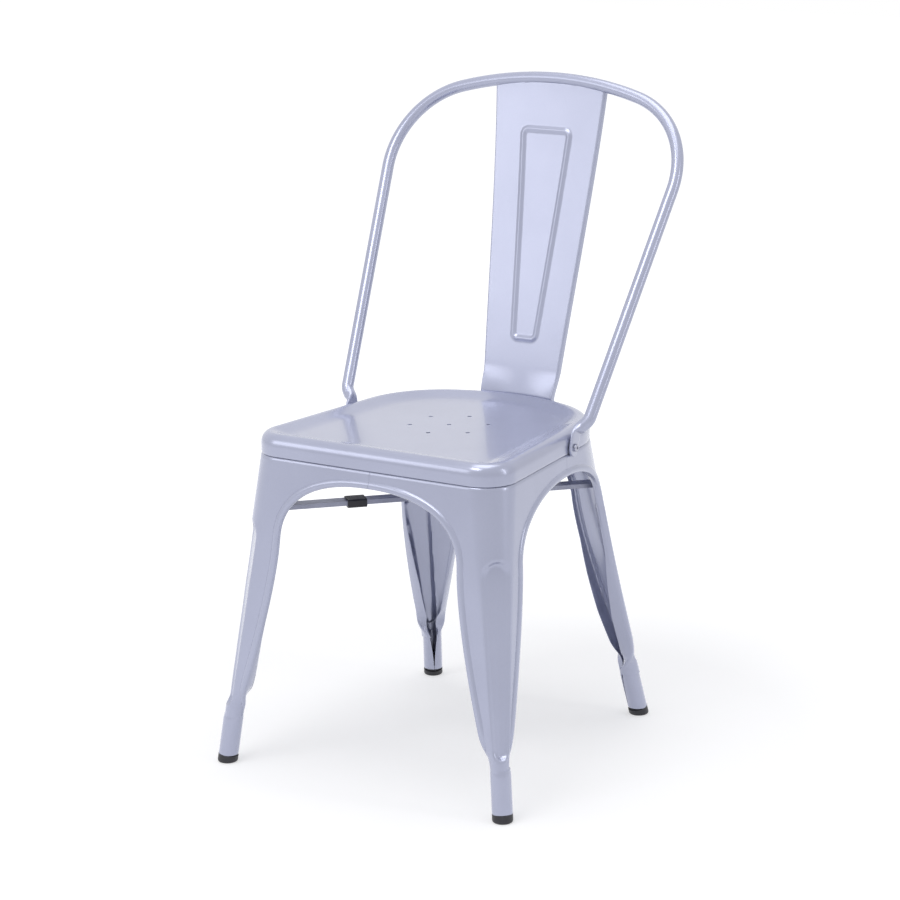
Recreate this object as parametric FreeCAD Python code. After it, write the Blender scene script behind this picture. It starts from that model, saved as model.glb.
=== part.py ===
import FreeCAD, Part
import math
import os

os.makedirs("parts", exist_ok=True)

V = FreeCAD.Vector

# Overall sizes, millimetres. Origin on the floor under the middle of the chair, front towards -Y.
overall_height = 850.0
overall_depth = 502.0
sheet = 1.5
clearance = 0.3

# Seat pan: plan outline, heights, rim and dish
seat_front_y = -209.0
seat_front_half = 187.5
seat_rear_half = 157.0
seat_rear_corner_y = 106.0
seat_rear_peak_y = 170.5
seat_front_corner_r = 42.0
seat_rear_crown_r = 225.0
seat_rear_straight = 2.0
seat_centre_y = -23.0
seat_top_z = 434.0
seam_z = 407.0
rim_r = 11.0
dish_depth = 7.0
dish_crest_inset = 15.0
dish_floor_inset = 36.0
dish_crest_r = 18.0
dish_floor_r = 50.0
drain_ring_r = 50.3
drain_hole_d = 6.0
drain_count = 6

# Feet: tube centres at the height where the tube ends
foot_d = 26.0
foot_front_x = 206.0
foot_rear_x = 163.0
foot_front_y = -(overall_depth - foot_d) / 2.0
foot_rear_y = 190.0
foot_height = 10.0
foot_front_lean_x = 0.113
foot_front_lean_y = 0.108
foot_rear_lean_x = 0.126
foot_rear_lean_y = 0.229
tube_top_z = 80.0
skin_low_z = 62.0
slit_width = 2.5
slit_low_z = 30.0

# Arches between the legs: half width at the springing height, height of the crown
front_arch_half = 133.0
front_arch_spring_z = 300.0
front_arch_top_z = 388.0
side_arch_front_y = -161.0
side_arch_crown_y = -16.0
side_arch_rear_y = 104.0
side_arch_spring_z = 300.0
side_arch_top_z = 379.0
rear_arch_half = 87.0
rear_arch_top_z = 382.0
arch_power = 1.3
front_arch_power = 1.4
front_foot_inset = 5.0
rear_foot_inset = 1.0
rim_width = 10.0
rim_proud = 2.0
front_return = (25.0, 10.0, 2.5)
rear_return = (31.0, 20.0, 12.0)
return_middle_z = 150.0
return_high_z = 310.0
tongue_height = 14.0
joggle_height = 7.0
side_joint_y = -16.0

# Flute pressed into the corner of the front and the rear leg
flute_high_depth = (7.0, 5.0)
flute_low_depth = (7.0, 5.0)
flute_top_z = 317.0
flute_low_z = 88.0
flute_half = 18.0
flute_low_half = 11.0

# Back hoop: one tube bent in a leaning plane
hoop_d = 16.0
hoop_wall = 1.5
hoop_crown_r = 466.0
hoop_corner_r = 116.0
hoop_crown_half_angle = 16.65
hoop_end_rise = 16.0
hoop_end_out = 16.2
hoop_end_back = 18.5
neck_wide = 20.0
neck_thick = 9.5
tab_width = 23.0
tab_thickness = 4.0
tab_length = 18.0
tab_lean = 23.0

# Back splat: bent sheet with side flanges and a raised bead
splat_low_z = 411.0
splat_low_half = 53.5
splat_high_half = 84.5
splat_bend_z = 448.0
splat_flange = 8.0
splat_mid_z = 630.0
splat_ahead = 5.65
splat_slope = 48.97
splat_bow = 3.37
splat_twist = 4.05
bead_low_z = 500.0
bead_below_top = 70.0
bead_low_half = 21.0
bead_high_half = 40.0
bead_width = 9.0
bead_corner_r = 12.0
bead_proud = 2.0

# Cross brace under the seat, its clip-on pads and the hoop screws
brace_z = 333.4
brace_height = 5.8
brace_width = 20.0
brace_cross_y = -16.0
brace_front_x = 179.0
brace_front_y = -201.0
pad_length = 25.0
pad_offset = 128.0
pad_wall = 2.0
pad_drop = 3.0
cap_edge_r = 3.0
cap_stem = 16.0
screw_y = 0.0
screw_z = 413.0
screw_d = 6.0
screw_head_d = 10.0
screw_head_h = 3.2
nut_size = 10.0
nut_height = 5.0
screw_length = 16.0

# Sizes that follow from the ones above
hoop_crown_z = overall_height - hoop_d / 2.0
hoop_crown_y = (overall_depth - hoop_d) / 2.0
hoop_end_y = screw_y + hoop_end_back
hoop_end_z = seat_top_z + hoop_end_rise
hoop_lean = math.atan2(hoop_crown_y - hoop_end_y, hoop_crown_z - hoop_end_z)
tube_bore_d = foot_d - 2.0 * sheet
rear_slope = math.atan2(seat_rear_peak_y - seat_rear_corner_y, seat_rear_half)
seat_rear_y = seat_rear_peak_y - seat_rear_crown_r * (1.0 / math.cos(rear_slope) - 1.0)
side_slope = math.atan2(seat_front_half - seat_rear_half, seat_rear_corner_y - seat_front_y)
rear_reach = seat_rear_half / math.cos(rear_slope) - seat_rear_crown_r * math.tan(rear_slope)
rear_turn = math.pi / 2.0 - rear_slope - side_slope
seat_rear_corner_r = (rear_reach - seat_rear_straight) / math.tan(rear_turn / 2.0)
far = 400.0


def rounded_corners(points, radii, z, inset):
    """Start, middle, end and inward direction of the arc at each corner, moved inwards by inset."""
    n = len(points)
    spans = []
    for i in range(n):
        here = V(points[i][0], points[i][1], z)
        before = V(points[i - 1][0], points[i - 1][1], z)
        after = V(points[(i + 1) % n][0], points[(i + 1) % n][1], z)
        a = (before - here).normalize()
        b = (after - here).normalize()
        half = a.getAngle(b) / 2.0
        inward = (a + b).normalize()
        radius = max(radii[i] - inset, 1.0)
        here = here + inward * (inset / math.sin(half))
        reach = radius / math.tan(half)
        middle = here + inward * (radius / math.sin(half) - radius)
        spans.append((here + a * reach, middle, here + b * reach, inward))
    return spans


def rounded_polygon(points, radii, z, inset):
    """Closed wire at height z through sharp corners rounded by arcs, moved inwards by inset."""
    spans = rounded_corners(points, radii, z, inset)
    edges = []
    for i, (start, middle, end, inward) in enumerate(spans):
        edges.append(Part.Arc(start, middle, end).toShape())
        edges.append(Part.makeLine(end, spans[(i + 1) % len(spans)][0]))
    return Part.Wire(edges)


def five_corners(front_x, front_y, rear_x, rear_y, peak_y):
    """Sharp corners of an outline that is symmetric left to right, with a peak at the rear."""
    right = [(front_x, front_y), (rear_x, rear_y)]
    left = [(-x, y) for x, y in reversed(right)]
    return right + [(0.0, peak_y)] + left


def seat_wire(z, inset):
    """Seat outline at height z, moved inwards by inset."""
    points = five_corners(seat_front_half, seat_front_y, seat_rear_half, seat_rear_corner_y,
                          seat_rear_peak_y)
    radii = [seat_front_corner_r, seat_rear_corner_r, seat_rear_crown_r,
             seat_rear_corner_r, seat_front_corner_r]
    return rounded_polygon(points, radii, z, inset)


def foot_axes():
    """Right-hand legs: name, tube centre at the tube's end, and slope of the tube per unit of height."""
    front = V(foot_front_x, foot_front_y, foot_height)
    rear = V(foot_rear_x, foot_rear_y, foot_height)
    return [("front", front, V(-foot_front_lean_x, foot_front_lean_y, 1.0)),
            ("rear", rear, V(-foot_rear_lean_x, -foot_rear_lean_y, 1.0))]


def skin_outline(z):
    """Sharp corners and radii of the leg skins at a height between the foot tubes and the seam."""
    k = (z - skin_low_z) / (seam_z - skin_low_z)
    ends = [base + slope * (skin_low_z - foot_height) for name, base, slope in foot_axes()]
    r = foot_d / 2.0
    low = [ends[0].x + r, ends[0].y - r, ends[1].x + r, ends[1].y + r, ends[1].y + r + 1.0]
    high = [seat_front_half, seat_front_y, seat_rear_half, seat_rear_corner_y, seat_rear_peak_y]
    mixed = [a + (b - a) * k for a, b in zip(low, high)]
    radii = [r + 1.0 + (big - r - 1.0) * k for big in (seat_front_corner_r, seat_rear_corner_r)]
    radii = radii + [seat_rear_crown_r, radii[1], radii[0]]
    return five_corners(*mixed), radii


def skin_wire(z, inset):
    """Outline of the leg skins at height z, moved inwards by inset."""
    points, radii = skin_outline(z)
    return rounded_polygon(points, radii, z, inset)


def skin(inset):
    """Filled body bounded by the leg skins, moved inwards by inset."""
    return Part.makeLoft([skin_wire(skin_low_z, inset), skin_wire(seam_z, inset)], True, True)


def return_core(depths):
    """Body inside the edges that are folded inwards, deepest where they close round the tube."""
    low, middle, high = depths
    wires = [skin_wire(skin_low_z, low), skin_wire(return_middle_z, middle),
             skin_wire(return_high_z, high), skin_wire(seam_z, high)]
    return Part.makeLoft(wires, True, True)


def save(name, shape):
    """Write one node and report it."""
    shape.exportStep("parts/" + name + ".step")
    print(name, len(shape.Solids), shape.isValid(), round(shape.Volume, 1))


def box(x0, y0, z0, x1, y1, z1):
    """Box between two corners."""
    return Part.makeBox(x1 - x0, y1 - y0, z1 - z0, V(x0, y0, z0))


def slab(wire, height):
    """Upright body over a flat outline."""
    return Part.Face(wire).extrude(V(0, 0, height))


def rod(start, direction, length, diameter):
    """Cylinder from a start point along a direction."""
    return Part.makeCylinder(diameter / 2.0, length, start, direction)


def mirrored(shape):
    """The same shape on the other side of the middle plane."""
    return shape.mirror(V(0, 0, 0), V(1, 0, 0))


def half_arch(spring, top, spring_z, foot, grow, power=arch_power):
    """One side of an arch as (distance from its middle, height), from the crown to the floor."""
    points = []
    for i in range(8):
        angle = math.radians(90.0 * (7 - i) / 7.0)
        wide = (spring + grow) * math.cos(angle)
        points.append((wide, spring_z + (top + grow - spring_z) * math.sin(angle)))
    for i in range(1, 6):
        k = i / 5.0
        wide = spring + grow + (foot - spring) * k ** power
        points.append((wide, spring_z + (skin_low_z - spring_z) * k))
    return points


def arch_body(near, far_side, centre, place, depth):
    """Body through the wall under an arch; near and far_side are its two half outlines."""
    curve = [place(centre + w, z) for w, z in reversed(near)]
    curve = curve + [place(centre - w, z) for w, z in far_side[1:]]
    spline = Part.BSplineCurve()
    spline.interpolate(curve)
    low_a = V(curve[0])
    low_b = V(curve[-1])
    low_a.z = -10.0
    low_b.z = -10.0
    edges = [spline.toShape(), Part.makeLine(curve[-1], low_b), Part.makeLine(low_b, low_a),
             Part.makeLine(low_a, curve[0])]
    return Part.Face(Part.Wire(edges)).extrude(depth)


def front_arch(grow):
    """Opening under the front apron, widened by grow."""
    foot = foot_front_x - foot_d / 2.0 - front_foot_inset
    half = half_arch(front_arch_half, front_arch_top_z, front_arch_spring_z, foot, grow, front_arch_power)
    return arch_body(half, half, 0.0, lambda w, z: V(w, -far, z), V(0, far + seat_centre_y, 0))


def rear_arch(grow):
    """Opening under the rear apron, widened by grow."""
    foot = foot_rear_x - foot_d / 2.0 - rear_foot_inset
    half = half_arch(rear_arch_half, rear_arch_top_z, front_arch_spring_z, foot, grow)
    return arch_body(half, half, 0.0, lambda w, z: V(w, seat_centre_y, z), V(0, far, 0))


def side_arch(grow):
    """Opening through both side aprons, widened by grow."""
    front_foot = side_arch_crown_y - (foot_front_y + foot_d / 2.0 - 3.0)
    rear_foot = foot_rear_y - foot_d + 8.0 - side_arch_crown_y
    front = half_arch(side_arch_crown_y - side_arch_front_y, side_arch_top_z,
                      side_arch_spring_z, front_foot, grow)
    rear = half_arch(side_arch_rear_y - side_arch_crown_y, side_arch_top_z,
                     side_arch_spring_z, rear_foot, grow)
    return arch_body(rear, front, side_arch_crown_y, lambda w, z: V(-far, w, z), V(2.0 * far, 0, 0))


def seat_body(inset):
    """Seat form without its hollow: skirt, rolled rim and dish, moved inwards by inset."""
    low = seam_z - (20.0 if inset > 0.0 else 0.0)
    top = seat_top_z - inset
    body = slab(seat_wire(low, inset), top - low)
    rim = [e for e in body.Edges if abs(e.BoundBox.ZMin - top) < 0.01 and e.BoundBox.ZLength < 0.01]
    body = body.makeFillet(rim_r - inset, rim)
    floor_z = top - dish_depth
    dish = Part.makeLoft([seat_wire(floor_z, dish_floor_inset), seat_wire(top, dish_crest_inset),
                          seat_wire(top + 7.0, dish_crest_inset)], True, True)
    body = body.cut(dish)
    for level, radius in ((top, dish_crest_r), (floor_z, dish_floor_r)):
        flat = [e for e in body.Edges if e.BoundBox.ZLength < 0.01 and abs(e.BoundBox.ZMin - level) < 0.01]
        inner = [e for e in flat if e.BoundBox.YMin > seat_front_y + rim_r + 1.0
                 and e.BoundBox.YMax < seat_rear_y - rim_r - 1.0]
        body = body.makeFillet(radius, inner)
    return body


def drain_holes():
    """Pattern of drain holes through the dish: one in the middle and a ring round it."""
    places = [V(0, seat_centre_y, seam_z)]
    for i in range(drain_count):
        angle = math.radians(30.0 + 360.0 * i / drain_count)
        across = drain_ring_r * math.cos(angle)
        places.append(V(across, seat_centre_y + drain_ring_r * math.sin(angle), seam_z))
    return [rod(p, V(0, 0, 1), 60.0, drain_hole_d) for p in places]


def skirt_point(y, z):
    """Point on the right side of the seat skirt."""
    k = (y - seat_front_y) / (seat_rear_corner_y - seat_front_y)
    return V(seat_front_half + (seat_rear_half - seat_front_half) * k, y, z)


def skirt_normal():
    """Outward direction of the right side of the seat skirt."""
    return V(seat_rear_corner_y - seat_front_y, seat_front_half - seat_rear_half, 0).normalize()


def screw_holes(extra):
    """Bores for the two hoop screws through skirt and leg tongue."""
    out = skirt_normal()
    hole = rod(skirt_point(screw_y, screw_z) - out * 20.0, out, 40.0, screw_d + extra)
    return hole.fuse(mirrored(hole))


def seat_pan():
    """Pressed seat: outer form less inner form."""
    pan = seat_body(0.0).cut(seat_body(sheet))
    return pan.cut(drain_holes() + [screw_holes(2.0 * clearance)])


def flute(deeper):
    """Tools that press the flutes of the right-hand legs, each deeper and wider by the given amount."""
    return [flute_tool(i, flute_high_depth[i], flute_low_depth[i], deeper) for i in (0, 1)]


def flute_tool(corner, high_depth, low_depth, deeper):
    """One flute: a long rounded outline cut flat across one corner of the skin."""
    ends = []
    for z, pressed in ((flute_top_z, high_depth), (flute_low_z, low_depth)):
        points, radii = skin_outline(z)
        start, middle, end, inward = rounded_corners(points, radii, z, 0.0)[corner]
        ends.append(middle + inward * (pressed + deeper))
    high, low = ends
    up = (high - low).normalize()
    across = up.cross(-inward).normalize()
    shoulder = high - up * flute_half
    half = flute_half + deeper
    low_half = flute_low_half + deeper
    a = low + across * low_half
    b = shoulder + across * half
    c = shoulder - across * half
    d = low - across * low_half
    edges = [Part.makeLine(a, b), Part.Arc(b, shoulder + up * half, c).toShape(), Part.makeLine(c, d),
             Part.Arc(d, low - up * low_half, a).toShape()]
    return Part.Face(Part.Wire(edges)).extrude(across.cross(up) * 60.0)


def leg_skins():
    """Right-hand leg stampings as one ring: skin, raised arch rims and inward returns."""
    half = box(0.0, -far, 0.0, far, far, 2.0 * far)
    front_half = box(0.0, -far, 0.0, far, side_joint_y, 2.0 * far)
    outer = skin(0.0).common(half).cut(flute(0.0))
    inner = skin(sheet).cut(flute(sheet))
    shell = skin(-rim_proud).common(half).cut(inner)
    front_folds = outer.common(front_half).cut(return_core(front_return))
    rear_folds = outer.cut(front_half).cut(return_core(rear_return))
    folded = front_folds.fuse(rear_folds)
    openings = [front_arch(0.0), rear_arch(0.0), side_arch(0.0)]
    ring = outer.cut(inner)
    for arch in (front_arch, rear_arch, side_arch):
        ring = ring.fuse([shell.common(arch(rim_width)), folded.common(arch(sheet))])
    return ring.cut(openings)


def joggled_top():
    """Ring that steps the leg tops inwards and carries them up inside the seat skirt."""
    step_low = seam_z - joggle_height
    inside = 2.0 * sheet + clearance
    step = slab(seat_wire(step_low, sheet / 2.0), joggle_height - clearance)
    step = step.cut(slab(seat_wire(step_low, inside), joggle_height))
    tongue = slab(seat_wire(step_low, sheet + clearance), joggle_height + tongue_height)
    tongue = tongue.cut(slab(seat_wire(step_low, inside), joggle_height + tongue_height))
    return step.fuse(tongue)


def foot_tube(base, slope):
    """Round lower end of a leg, its bore, and the slit where the sheet edges meet."""
    up = V(slope).normalize()
    length = (tube_top_z - foot_height) / up.z
    low = base + slope * clearance
    tube = rod(low, up, length, foot_d)
    bore = rod(base - slope * 2.0, up, length + 30.0, tube_bore_d)
    slit = box(0.0, -slit_width / 2.0, slit_low_z, foot_d, slit_width / 2.0, 2.0 * skin_low_z)
    slit.rotate(V(0, 0, 0), V(0, 0, 1), math.degrees(math.atan2(-base.y, -base.x)))
    middle = base + slope * (slit_low_z - foot_height)
    slit.translate(V(middle.x, middle.y, 0))
    return tube, bore, slit


def right_legs():
    """Front and rear leg stampings of the right side, cut at their joints."""
    ring = leg_skins().fuse(joggled_top()).cut(screw_holes(2.0 * clearance))
    gap = clearance / 2.0
    parts = {}
    for name, base, slope in foot_axes():
        if base.y < 0.0:
            reach = box(gap, -far, 0.0, far, side_joint_y - gap, 2.0 * far)
        else:
            reach = box(gap, side_joint_y + gap, 0.0, far, far, 2.0 * far)
        tube, bore, slit = foot_tube(base, slope)
        piece = ring.common(reach).fuse(tube).cut([bore, slit])
        parts[name] = sorted(piece.Solids, key=lambda solid: solid.Volume)[-1]
    return parts


def foot_cap(base, slope):
    """Plug for one foot tube: a stem in the bore and a head cut flat on the floor."""
    up = V(slope).normalize()
    head = rod(base - slope * (foot_height + 5.0), up, (foot_height + 5.0) / up.z, foot_d)
    head = head.common(box(-far, -far, 0.0, far, far, far))
    floor_edge = [e for e in head.Edges if e.BoundBox.ZMax < 0.01]
    head = head.makeFillet(cap_edge_r, floor_edge)
    return head.fuse(rod(base, up, cap_stem / up.z, tube_bore_d - 2.0 * clearance))


def hoop_point(across, down):
    """Point of the hoop's plane: sideways distance and distance below the crown."""
    return V(across, hoop_crown_y - down * math.sin(hoop_lean), hoop_crown_z - down * math.cos(hoop_lean))


def hoop_path():
    """Centre line of the bent tube from one lower end over the crown to the other."""
    half_angle = math.radians(hoop_crown_half_angle)
    crown_x = hoop_crown_r * math.sin(half_angle)
    crown_s = hoop_crown_r * (1.0 - math.cos(half_angle))
    centre_x = crown_x - hoop_corner_r * math.sin(half_angle)
    centre_s = crown_s + hoop_corner_r * math.cos(half_angle)
    end_x = skirt_point(screw_y, screw_z).x + hoop_end_out
    end = (end_x, (hoop_crown_z - hoop_end_z) / math.cos(hoop_lean))
    reach = math.hypot(end[0] - centre_x, end[1] - centre_s)
    spread = math.atan2(end[1] - centre_s, end[0] - centre_x) - math.acos(hoop_corner_r / reach)
    middle = (spread + half_angle - math.pi / 2.0) / 2.0

    def on_corner(angle):
        return (centre_x + hoop_corner_r * math.cos(angle), centre_s + hoop_corner_r * math.sin(angle))

    right = [end, on_corner(spread), on_corner(middle), (crown_x, crown_s)]
    r = [hoop_point(x, down) for x, down in right]
    m = [hoop_point(-x, down) for x, down in right]
    edges = [Part.makeLine(m[0], m[1]), Part.Arc(m[1], m[2], m[3]).toShape(),
             Part.Arc(m[3], hoop_point(0.0, 0.0), r[3]).toShape(),
             Part.Arc(r[3], r[2], r[1]).toShape(), Part.makeLine(r[1], r[0])]
    return Part.Wire(edges), r[0], (r[0] - r[1]).normalize()


def oval(centre, along_dir, wide_dir, wide, thick):
    """Closed round or elliptical wire across a direction, its long axis near a second direction."""
    thin = along_dir.cross(wide_dir).normalize()
    long = thin.cross(along_dir).normalize()
    if wide == thick:
        edge = Part.Circle(V(0, 0, 0), V(0, 0, 1), wide / 2.0).toShape()
    else:
        edge = Part.Ellipse(V(0, 0, 0), wide / 2.0, thick / 2.0).toShape()
    turn = FreeCAD.Rotation(long, thin, V(0, 0, 0), "ZXY")
    edge.Placement = FreeCAD.Placement(centre, turn)
    return Part.Wire(edge)


def hoop_end(end, direction):
    """Right lower end of the hoop: necked down, flattened and drilled for its screw."""
    out = skirt_normal()
    lean = math.radians(tab_lean)
    level = V(-out.y, out.x, 0)
    up = level * math.sin(lean) + V(0, 0, math.cos(lean))
    side = up.cross(out)
    half = tab_width / 2.0
    centre = skirt_point(screw_y, screw_z) + out * (2.0 * clearance)
    high = centre + up * tab_length
    flat = high + out * (tab_thickness / 2.0) - up
    neck = (end + direction * 6.0 + flat + up * 6.0) * 0.5
    wires = [oval(end, direction, side, hoop_d, hoop_d),
             oval(neck, (flat - end).normalize(), side, neck_wide, neck_thick),
             oval(flat, -up, side, tab_width - 1.0, tab_thickness - 0.6)]
    necked = Part.makeLoft(wires, True, False)
    a = high - side * half
    b = high + side * half
    c = centre + side * half
    d = centre - side * half
    edges = [Part.makeLine(a, b), Part.makeLine(b, c),
             Part.Arc(c, centre - up * half, d).toShape(), Part.makeLine(d, a)]
    tab = Part.Face(Part.Wire(edges)).extrude(out * tab_thickness)
    hole = rod(centre - out * 10.0, out, 20.0, screw_d + 2.0 * clearance)
    return necked.fuse(tab).cut(hole)


def back_hoop(diameter):
    """Bent tube of the back with its two flattened ends."""
    path, end, direction = hoop_path()
    start = V(-end.x, end.y, end.z)
    lead = V(direction.x, -direction.y, -direction.z)
    ring = Part.Wire(Part.Circle(start, lead, diameter / 2.0).toShape())
    return path.makePipeShell([ring], True, True), hoop_end(end, direction)


def splat_front(z):
    """Depth of the splat's front face at height z, which meets the hoop's crown ahead of its tube."""
    u = (z - splat_mid_z) / (hoop_crown_z - splat_mid_z)
    below = splat_slope * (1.0 - u) - splat_bow * (1.0 - u * u) - splat_twist * (1.0 - u ** 3)
    return hoop_crown_y - splat_ahead - below


def splat_curve(offset):
    """Curve of the splat's section, moved back by offset."""
    points = [V(-far, seat_rear_y + clearance + offset, splat_low_z),
              V(-far, seat_rear_y + clearance + offset, splat_low_z + 14.0)]
    for i in range(9):
        z = splat_bend_z + (overall_height - splat_bend_z) * i / 8.0
        points.append(V(-far, splat_front(z) + offset, z))
    curve = Part.BSplineCurve()
    curve.interpolate(points)
    return curve.toShape(), points[0], points[-1]


def splat_slab(front, back):
    """Wide curved plate between two offsets of the splat's section."""
    a, a0, a1 = splat_curve(front)
    b, b0, b1 = splat_curve(back)
    face = Part.Face(Part.Wire([a, Part.makeLine(a1, b1), b, Part.makeLine(b0, a0)]))
    return face.extrude(V(2.0 * far, 0, 0))


def tapered(low_half, high_half, low_z, high_z, inset, corner_r):
    """Upright prism through the back with a tapered outline, moved inwards by inset."""
    slope = (high_half - low_half) / (high_z - low_z)
    z0, z1 = low_z + inset, high_z - inset
    x0 = low_half + slope * (z0 - low_z) - inset
    x1 = low_half + slope * (z1 - low_z) - inset
    corners = [(x0, z0), (x1, z1), (-x1, z1), (-x0, z0)]
    if corner_r == 0.0:
        points = [V(x, 0, z) for x, z in corners]
        wire = Part.makePolygon(points + points[:1])
    else:
        wire = rounded_polygon(corners, [corner_r - inset] * 4, 0.0, 0.0)
        wire.rotate(V(0, 0, 0), V(1, 0, 0), 90.0)
    return Part.Face(wire).extrude(V(0, far, 0)).fuse(Part.Face(wire).extrude(V(0, -far, 0)))


def back_splat():
    """Pressed back panel: plate, folded side flanges and raised bead."""
    size = (splat_low_half, splat_high_half, splat_low_z, overall_height)
    outline = tapered(*size, 0.0, 0.0)
    wide = (splat_low_half, splat_high_half, splat_low_z - sheet, overall_height + sheet)
    inner = tapered(*wide, sheet, 0.0)
    plate = splat_slab(0.0, sheet).common(outline)
    flanges = splat_slab(0.0, splat_flange).common(outline.cut(inner))
    bead_size = (bead_low_half, bead_high_half, bead_low_z, overall_height - bead_below_top)
    wide_ring = tapered(*bead_size, 0.0, bead_corner_r).cut(tapered(*bead_size, bead_width, bead_corner_r))
    thin_ring = tapered(*bead_size, sheet, bead_corner_r).cut(
        tapered(*bead_size, bead_width - sheet, bead_corner_r))
    raised = splat_slab(-bead_proud, sheet).common(wide_ring)
    groove = splat_slab(sheet - bead_proud, 2.0 * sheet).common(thin_ring)
    return plate.fuse([flanges, raised]).cut(groove)


def brace_frame():
    """Direction of the bar that runs from front left to rear right, as an angle in degrees."""
    return math.degrees(math.atan2(brace_cross_y - brace_front_y, brace_front_x))


def brace_bar(height):
    """Long inverted channel along X over the crossing point, before its ends are trimmed."""
    low = brace_z - brace_height / 2.0
    w = brace_width / 2.0
    bar = box(-far, -w, low, far, w, low + height)
    return bar.cut(box(-far, -w + sheet, low, far, w - sheet, low + height - sheet))


def placed(shape, angle):
    """Turn a shape about the vertical and carry it to the crossing of the brace."""
    shape.rotate(V(0, 0, 0), V(0, 0, 1), angle)
    shape.translate(V(0, brace_cross_y, 0))
    return shape


def brace():
    """Two crossing channels; the upper one is slotted to saddle the lower one."""
    inside = skin(sheet + clearance)
    angle = brace_frame()
    lower = placed(brace_bar(brace_height), angle).common(inside)
    upper = placed(brace_bar(brace_height + sheet + clearance), -angle)
    low = brace_z - brace_height / 2.0
    w = brace_width / 2.0 + clearance
    slot = placed(box(-far, -w, low - 1.0, far, w, low + brace_height + clearance), angle)
    return lower, upper.cut(slot).common(inside)


def brace_pad(height, side, angle):
    """Sleeve clipped round one arm of the brace."""
    low = brace_z - brace_height / 2.0
    w = brace_width / 2.0 + clearance
    a, b = side * pad_offset - pad_length / 2.0, side * pad_offset + pad_length / 2.0
    sleeve = box(a, -w - pad_wall, low - pad_drop, b, w + pad_wall, low + height + pad_wall)
    edges = [e for e in sleeve.Edges if e.BoundBox.ZLength < 0.01 and e.BoundBox.YLength < 0.01]
    sleeve = sleeve.makeFillet(2.0, edges)
    hole = box(a - 1.0, -w, low - clearance, b + 1.0, w, low + height + clearance)
    return placed(sleeve.cut(hole), angle)


def hoop_screw():
    """Right screw of the hoop: domed head outside the tab and shank through the joint."""
    out = skirt_normal()
    seat = skirt_point(screw_y, screw_z) + out * (2.0 * clearance + tab_thickness + 0.1)
    head = rod(seat, out, screw_head_h, screw_head_d)
    rim = [e for e in head.Edges if abs((e.BoundBox.Center - seat).dot(out) - screw_head_h) < 0.2]
    head = head.makeFillet(screw_head_h / 2.0, rim)
    socket = rod(seat + out * (screw_head_h / 2.0), out, screw_head_h, screw_head_d * 0.4)
    return head.cut(socket).fuse(rod(seat - out * screw_length, out, screw_length, screw_d))


def hoop_nut():
    """Right nut, inside the leg tongue."""
    out = skirt_normal()
    seat = skirt_point(screw_y, screw_z) - out * (2.0 * sheet + 2.0 * clearance)
    points = []
    for i in range(7):
        angle = math.radians(30.0 + 60.0 * i)
        reach = nut_size / math.sqrt(3.0)
        points.append(V(reach * math.cos(angle), reach * math.sin(angle), 0))
    nut = Part.Face(Part.makePolygon(points)).extrude(V(0, 0, nut_height))
    nut.rotate(V(0, 0, 0), V(0, 1, 0), -90.0)
    nut.rotate(V(0, 0, 0), V(0, 0, 1), math.degrees(math.atan2(out.y, out.x)))
    nut.translate(seat)
    return nut.cut(rod(seat - out * 20.0, out, 40.0, screw_d + 2.0 * clearance))


def both(shape):
    """A right-hand piece and its mirror image as two separate solids."""
    return Part.makeCompound([shape, mirrored(shape)])


save("seat_pan", seat_pan())

for leg_name, leg_shape in right_legs().items():
    save(leg_name + "_right_leg", leg_shape)
    save(leg_name + "_left_leg", mirrored(leg_shape))

for cap_name, cap_base, cap_slope in foot_axes():
    save("foot_cap_" + cap_name + "_right", foot_cap(cap_base, cap_slope))
    save("foot_cap_" + cap_name + "_left", mirrored(foot_cap(cap_base, cap_slope)))

tube, tube_end = back_hoop(hoop_d)
bore = back_hoop(hoop_d - 2.0 * hoop_wall)[0]
save("back_hoop", tube.cut(bore).fuse([tube_end, mirrored(tube_end)]))
relief = back_hoop(hoop_d + 2.0 * clearance)[0]
above = box(-far, 0.0, hoop_crown_z, far, far, overall_height + far)
panel = back_splat().cut([relief, above])
save("back_splat", sorted(panel.Solids, key=lambda solid: solid.Volume)[-1])

lower_bar, upper_bar = brace()
save("brace_lower_bar", lower_bar)
save("brace_upper_bar", upper_bar)
turn = brace_frame()
tall = brace_height + sheet + clearance
save("brace_pad_left", brace_pad(brace_height, -1.0, turn))
save("brace_pad_right", brace_pad(tall, 1.0, -turn))

save("hoop_screws", both(hoop_screw()))
save("hoop_nuts", both(hoop_nut()))
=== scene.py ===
import math
from functools import lru_cache

import bmesh
import bpy
import numpy as np
from mathutils import Matrix, Vector


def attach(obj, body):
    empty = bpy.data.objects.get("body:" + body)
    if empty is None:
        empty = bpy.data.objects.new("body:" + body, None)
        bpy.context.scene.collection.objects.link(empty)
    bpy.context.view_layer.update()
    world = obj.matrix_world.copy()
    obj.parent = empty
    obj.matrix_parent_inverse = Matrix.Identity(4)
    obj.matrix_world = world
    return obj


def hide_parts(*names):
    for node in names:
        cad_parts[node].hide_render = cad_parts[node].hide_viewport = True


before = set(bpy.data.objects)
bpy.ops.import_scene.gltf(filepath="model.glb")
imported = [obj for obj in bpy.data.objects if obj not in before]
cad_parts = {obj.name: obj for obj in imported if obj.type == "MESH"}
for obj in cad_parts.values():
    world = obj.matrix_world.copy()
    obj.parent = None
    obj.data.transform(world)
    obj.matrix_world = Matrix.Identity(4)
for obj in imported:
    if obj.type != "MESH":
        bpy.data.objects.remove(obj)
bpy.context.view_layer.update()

# Sizes repeated from the part's source, millimetres
SHEET = 1.5
SEAT = dict(front_y=-209.0, front_half=187.5, rear_half=157.0, corner_y=106.0, peak_y=170.5,
            front_r=42.0, rear_r=125.0, crown_r=225.0)
SEAT_TOP, SEAM = 434.0, 407.0
SEAT_CENTRE_Y = -23.0
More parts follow.
